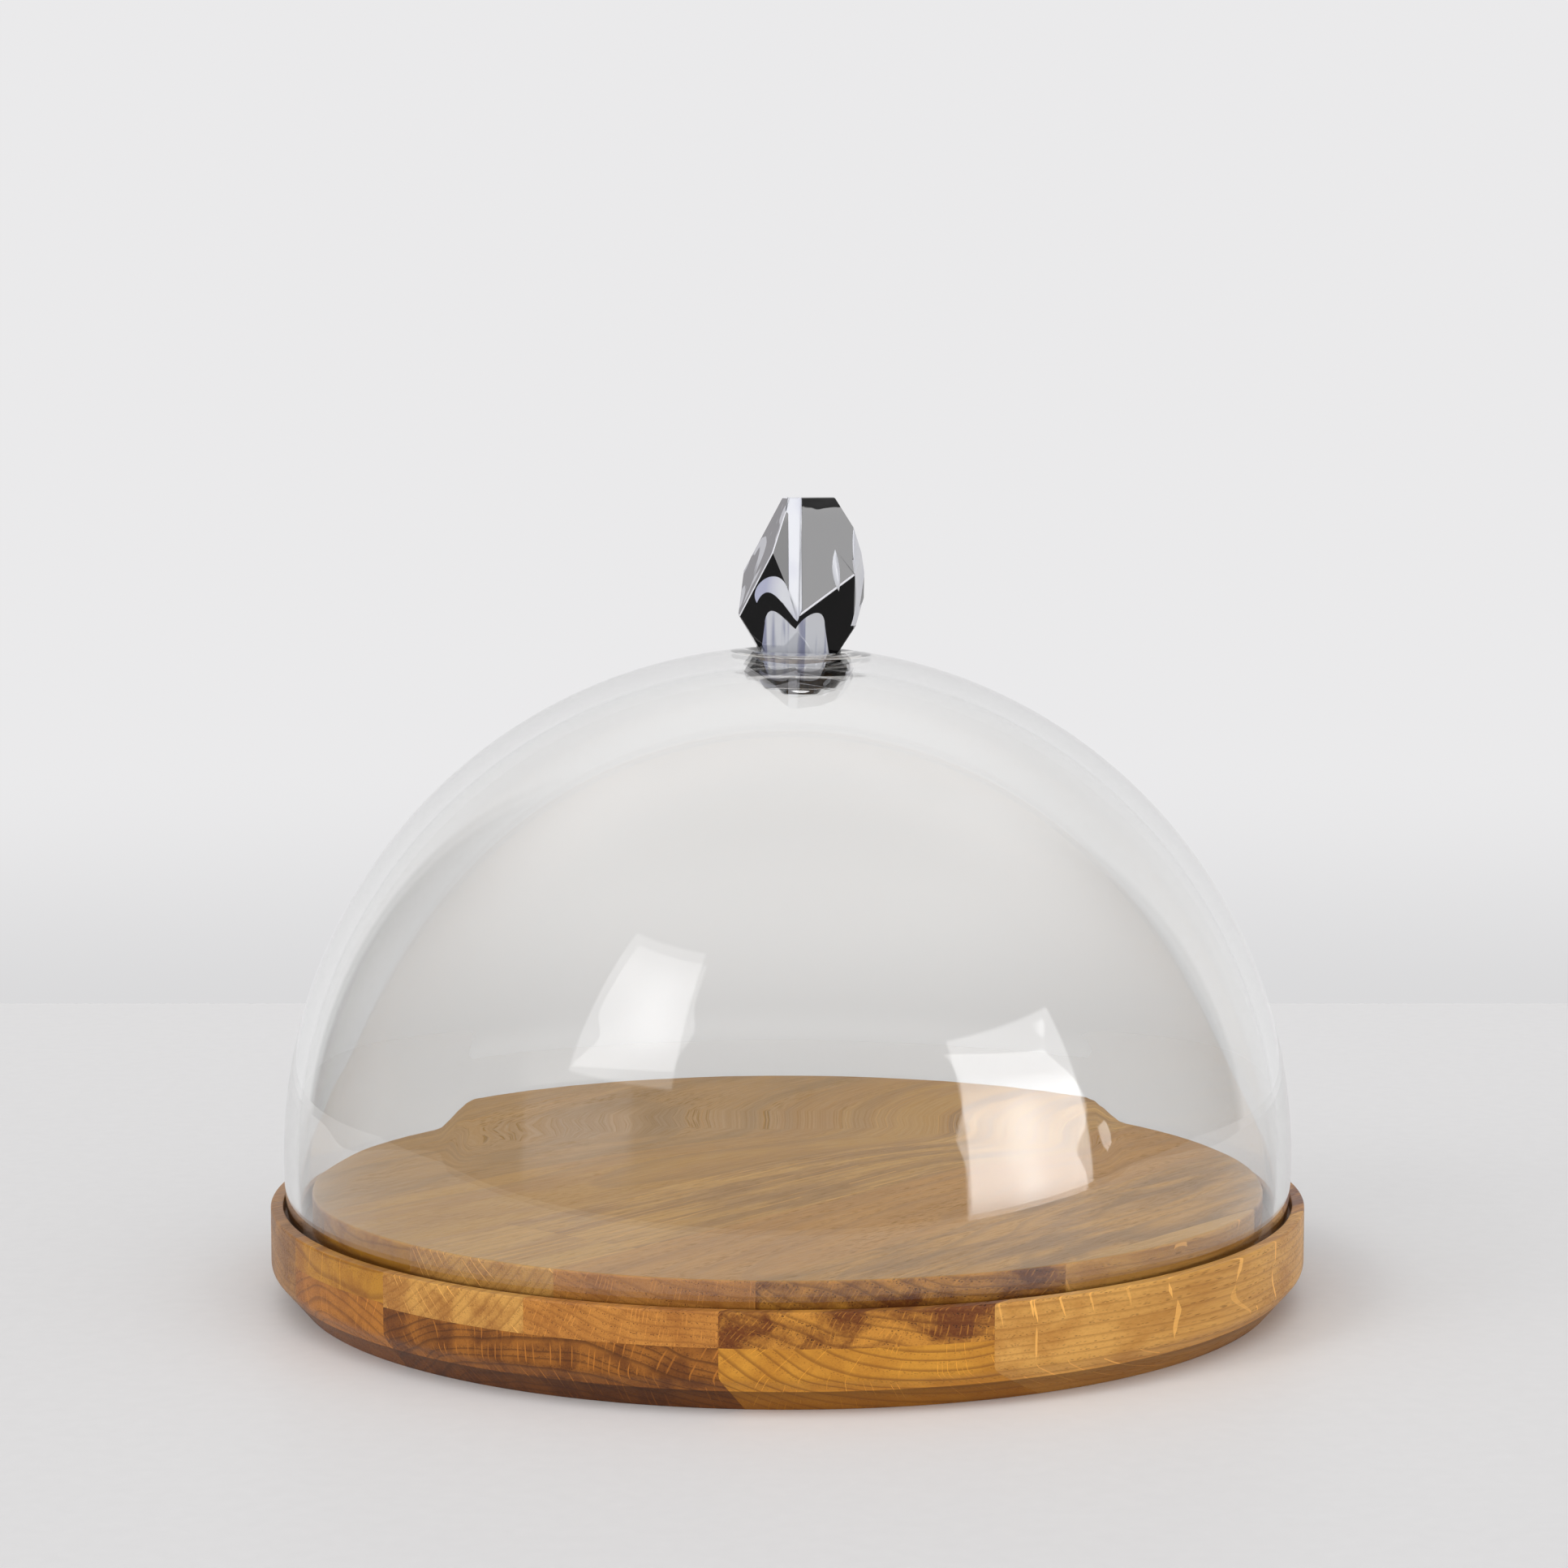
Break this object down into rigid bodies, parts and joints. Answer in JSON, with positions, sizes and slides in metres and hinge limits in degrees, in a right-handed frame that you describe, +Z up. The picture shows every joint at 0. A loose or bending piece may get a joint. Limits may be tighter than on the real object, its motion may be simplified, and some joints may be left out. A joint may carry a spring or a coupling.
{
  "type": "glass cloche",
  "caption": "Hemispherical clear glass dome with a faceted glass handle, resting in a groove of a round turned oak board and lifting straight off.",
  "frame": {"origin": "centre of the board's flat underside", "axes": "+Z up along the axis of the board and the dome; -Y is the front, where the handle's ridge faces"},
  "size_m": [0.31, 0.31, 0.2375],
  "materials": {
    "oak_tan": "oiled, sanded smooth, fine pores along the grain",
    "oak_figured": "oiled, sanded smooth, fine pores along the grain",
    "oak_gold": "oiled, sanded smooth, fine pores along the grain",
    "oak_orange": "oiled, sanded smooth, fine pores along the grain",
    "oak_pale": "oiled, sanded smooth, fine pores along the grain",
    "oak_dark": "oiled, sanded smooth, fine pores along the grain",
    "clear_glass": "clear, fire polished",
    "black_glass": "opaque black glass, cut and polished",
    "white_glass": "opaque white glass, cut and polished",
    "opal_glass": "milky translucent glass, polished"
  },
  "bodies": {
    "board": {"front_edge_stave": "oak_tan", "front_stave_upper": "oak_figured", "front_stave_lower": "oak_gold", "second_stave_upper": "oak_orange", "centre_stave_upper": "oak_figured", "centre_stave_upper_end": "oak_pale", "wide_stave_lower": "oak_dark", "fourth_stave_upper": "oak_gold", "fourth_stave_lower": "oak_orange", "fifth_stave": "oak_tan", "back_edge_stave": "oak_tan"},
    "dome": {"glass_dome": "clear_glass", "crown_boss": "clear_glass", "handle_body": "black_glass", "handle_ridge_band": "white_glass", "handle_crescent": "white_glass", "handle_flame": "white_glass", "handle_side_band": "white_glass", "handle_root": "opal_glass"}
  },
  "joints": [
    {"name": "dome_lift", "type": "slide", "parent": "board", "child": "dome", "axis": [0, 0, 1], "range_m": [0, 0.2]}
  ]
}
